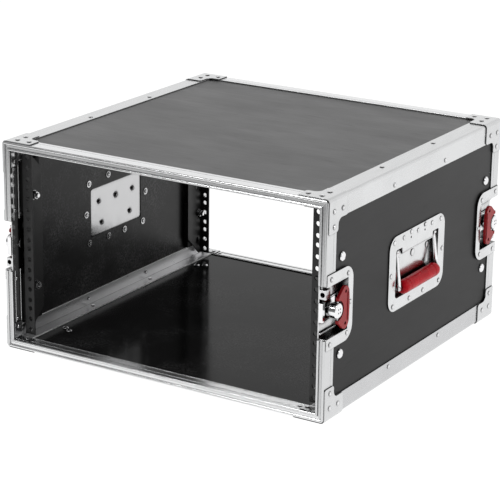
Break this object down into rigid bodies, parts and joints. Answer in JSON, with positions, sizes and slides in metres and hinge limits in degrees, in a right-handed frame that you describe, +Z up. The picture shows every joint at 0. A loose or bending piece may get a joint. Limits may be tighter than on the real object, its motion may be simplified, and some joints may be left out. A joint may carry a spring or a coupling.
{
  "type": "equipment rack case",
  "caption": "Black laminated road case for rack equipment, open front and rear, with metal frames and corner braces, twist latches, folding side handles and rack rails.",
  "frame": {"origin": "bottom centre of the case, on the plane of the bottom corner braces", "axes": "+X to the right side, +Y to the rear, +Z up; the open front with the closer rails faces -Y"},
  "size_m": [0.5426, 0.51, 0.3052],
  "materials": {
    "laminate_black": "plywood faced with black laminate, satin, fine grain and light scuffs",
    "frame_aluminium": "bright drawn aluminium with fine lines along its length",
    "zinc_steel": "zinc-plated pressed steel, satin",
    "rail_black": "black powder coat with a fine texture",
    "batten_black": "black painted plywood strip",
    "red_plastic": "red moulded plastic, softly glossy",
    "pressed_steel": "bright zinc-plated pressed steel",
    "chromed_steel": "polished chrome plate",
    "fastener_steel": "bright zinc-plated steel"
  },
  "bodies": {
    "case": {"top_panel": "laminate_black", "bottom_panel": "laminate_black", "left_panel": "laminate_black", "right_panel": "laminate_black", "front_trim_top": "frame_aluminium", "front_trim_bottom": "frame_aluminium", "front_trim_left": "frame_aluminium", "front_trim_right": "frame_aluminium", "rear_trim_top": "frame_aluminium", "rear_trim_bottom": "frame_aluminium", "rear_trim_left": "frame_aluminium", "rear_trim_right": "frame_aluminium", "edge_angle_top_left": "frame_aluminium", "edge_angle_top_right": "frame_aluminium", "edge_angle_bottom_left": "frame_aluminium", "edge_angle_bottom_right": "frame_aluminium", "inner_angle_top_left": "frame_aluminium", "inner_angle_top_right": "frame_aluminium", "inner_angle_bottom_left": "frame_aluminium", "inner_angle_bottom_right": "frame_aluminium", "corner_braces_front": "zinc_steel", "corner_braces_rear": "zinc_steel", "inner_corner_plates": "zinc_steel", "rack_rail_front_left": "rail_black", "rack_rail_front_right": "rail_black", "rack_rail_rear_left": "rail_black", "rack_rail_rear_right": "rail_black", "rail_spacers": "batten_black", "rail_bolts": "fastener_steel", "rail_nuts": "fastener_steel", "floor_screws": "fastener_steel", "face_rivets": "fastener_steel", "trim_rivets": "fastener_steel", "latch_rivets": "fastener_steel", "handle_rivets": "fastener_steel", "latch_dish_front_right": "pressed_steel", "latch_dish_rear_right": "pressed_steel", "latch_dish_front_left": "pressed_steel", "latch_dish_rear_left": "pressed_steel", "handle_dish_left": "pressed_steel", "handle_dish_right": "pressed_steel", "handle_pins": "fastener_steel", "handle_springs": "fastener_steel"},
    "rotor_front_right": {"latch_rotor_front_right": "chromed_steel"},
    "wing_front_right": {"latch_wing_front_right": "red_plastic"},
    "hook_front_right": {"latch_hook_front_right": "chromed_steel"},
    "rotor_rear_right": {"latch_rotor_rear_right": "chromed_steel"},
    "wing_rear_right": {"latch_wing_rear_right": "red_plastic"},
    "hook_rear_right": {"latch_hook_rear_right": "chromed_steel"},
    "rotor_front_left": {"latch_rotor_front_left": "chromed_steel"},
    "wing_front_left": {"latch_wing_front_left": "red_plastic"},
    "hook_front_left": {"latch_hook_front_left": "chromed_steel"},
    "rotor_rear_left": {"latch_rotor_rear_left": "chromed_steel"},
    "wing_rear_left": {"latch_wing_rear_left": "red_plastic"},
    "hook_rear_left": {"latch_hook_rear_left": "chromed_steel"},
    "bail_left": {"handle_bail_left": "chromed_steel", "handle_grip_left": "red_plastic"},
    "bail_right": {"handle_bail_right": "chromed_steel", "handle_grip_right": "red_plastic"}
  },
  "joints": [
    {"name": "front_right_latch_twist", "type": "hinge", "parent": "case", "child": "rotor_front_right", "pos_m": [0.258, -0.233, 0.152], "axis": [1, 0, 0], "range_deg": [0, 180]},
    {"name": "front_right_wing_fold", "type": "hinge", "parent": "rotor_front_right", "child": "wing_front_right", "pos_m": [0.264, -0.233, 0.152], "axis": [0, 0, -1], "range_deg": [0, 90]},
    {"name": "front_right_hook_slide", "type": "slide", "parent": "case", "child": "hook_front_right", "axis": [0, -1, 0], "range_m": [0, 0.01]},
    {"name": "rear_right_latch_twist", "type": "hinge", "parent": "case", "child": "rotor_rear_right", "pos_m": [0.258, 0.233, 0.152], "axis": [1, 0, 0], "range_deg": [0, 180]},
    {"name": "rear_right_wing_fold", "type": "hinge", "parent": "rotor_rear_right", "child": "wing_rear_right", "pos_m": [0.264, 0.233, 0.152], "axis": [0, 0, 1], "range_deg": [0, 90]},
    {"name": "rear_right_hook_slide", "type": "slide", "parent": "case", "child": "hook_rear_right", "axis": [0, 1, 0], "range_m": [0, 0.01]},
    {"name": "front_left_latch_twist", "type": "hinge", "parent": "case", "child": "rotor_front_left", "pos_m": [-0.258, -0.233, 0.152], "axis": [-1, 0, 0], "range_deg": [0, 180]},
    {"name": "front_left_wing_fold", "type": "hinge", "parent": "rotor_front_left", "child": "wing_front_left", "pos_m": [-0.264, -0.233, 0.152], "axis": [0, 0, 1], "range_deg": [0, 90]},
    {"name": "front_left_hook_slide", "type": "slide", "parent": "case", "child": "hook_front_left", "axis": [0, -1, 0], "range_m": [0, 0.01]},
    {"name": "rear_left_latch_twist", "type": "hinge", "parent": "case", "child": "rotor_rear_left", "pos_m": [-0.258, 0.233, 0.152], "axis": [-1, 0, 0], "range_deg": [0, 180]},
    {"name": "rear_left_wing_fold", "type": "hinge", "parent": "rotor_rear_left", "child": "wing_rear_left", "pos_m": [-0.264, 0.233, 0.152], "axis": [0, 0, -1], "range_deg": [0, 90]},
    {"name": "rear_left_hook_slide", "type": "slide", "parent": "case", "child": "hook_rear_left", "axis": [0, 1, 0], "range_m": [0, 0.01]},
    {"name": "right_handle_swing", "type": "hinge", "parent": "case", "child": "bail_right", "pos_m": [0.254, 0, 0.1815], "axis": [0, -1, 0], "range_deg": [0, 90], "stiffness_Nm_per_rad": 0.25},
    {"name": "left_handle_swing", "type": "hinge", "parent": "case", "child": "bail_left", "pos_m": [-0.254, 0, 0.1815], "axis": [0, 1, 0], "range_deg": [0, 90], "stiffness_Nm_per_rad": 0.25}
  ],
  "couplings": [
    {"joint": "front_right_hook_slide", "follows": "front_right_latch_twist", "m_per_rad": 0.003183},
    {"joint": "rear_right_hook_slide", "follows": "rear_right_latch_twist", "m_per_rad": 0.003183},
    {"joint": "front_left_hook_slide", "follows": "front_left_latch_twist", "m_per_rad": 0.003183},
    {"joint": "rear_left_hook_slide", "follows": "rear_left_latch_twist", "m_per_rad": 0.003183}
  ]
}
